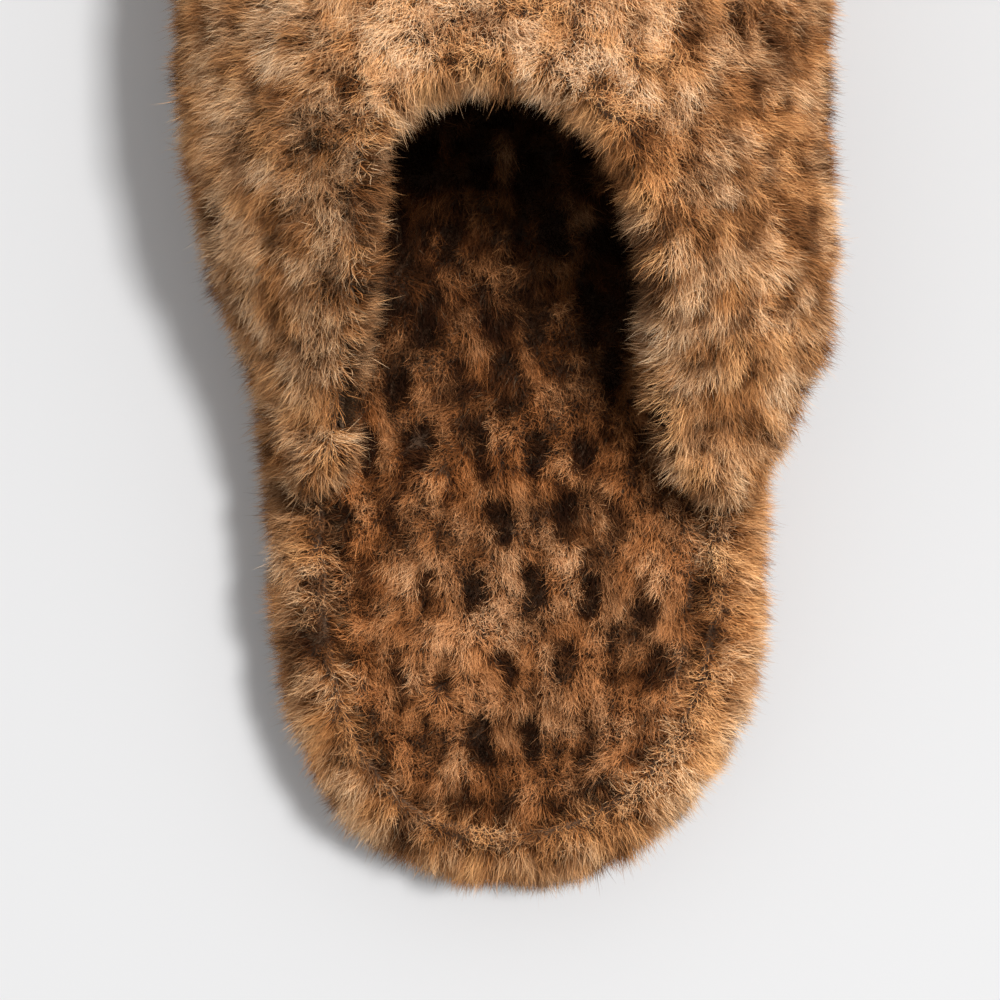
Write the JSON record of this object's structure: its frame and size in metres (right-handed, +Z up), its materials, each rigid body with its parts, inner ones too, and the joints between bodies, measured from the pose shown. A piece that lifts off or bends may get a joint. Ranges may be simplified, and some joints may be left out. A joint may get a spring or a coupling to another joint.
{
  "type": "house slipper",
  "caption": "Backless fluffy sheepskin house slipper for a right foot: plump platform, furry footbed and rounded vamp over a padded foot opening.",
  "frame": {"origin": "on the ground under the middle of the slipper's length and width", "axes": "+Y along the length towards the toe, +X towards the outer side of the right foot, +Z up"},
  "size_m": [0.11, 0.2723, 0.074],
  "materials": {
    "outsole": "matt moulded rubber",
    "bottom_filler": "grey needled felt",
    "platform_wrap": "long soft brindled sheepskin pile",
    "midsole": "brown closed-cell foam",
    "heel_cushion": "soft tan open-cell foam",
    "cushion_insole": "brown memory foam",
    "footbed_shearling": "dense brindled sheepskin pile",
    "vamp_shearling": "long soft brindled sheepskin pile",
    "toe_puff": "thermoplastic stiffener sheet",
    "topline_tape": "woven twill tape",
    "vamp_interlining": "thin brown foam sheet",
    "collar_padding": "soft brown foam roll",
    "vamp_lining": "short fleece pile",
    "footbed_stitches": "twisted polyester thread",
    "topline_stitches": "twisted polyester thread",
    "wing_bartacks": "dense satin-stitched thread"
  },
  "bodies": {
    "root": {"outsole": "outsole", "bottom_filler": "bottom_filler", "platform_wrap": "platform_wrap", "midsole": "midsole", "heel_cushion": "heel_cushion", "cushion_insole": "cushion_insole", "footbed_shearling": "footbed_shearling", "vamp_shearling": "vamp_shearling", "toe_puff": "toe_puff", "topline_tape": "topline_tape", "vamp_interlining": "vamp_interlining", "collar_padding": "collar_padding", "vamp_lining": "vamp_lining", "footbed_stitches": "footbed_stitches", "topline_stitches": "topline_stitches", "wing_bartacks": "wing_bartacks"}
  },
  "joints": []
}
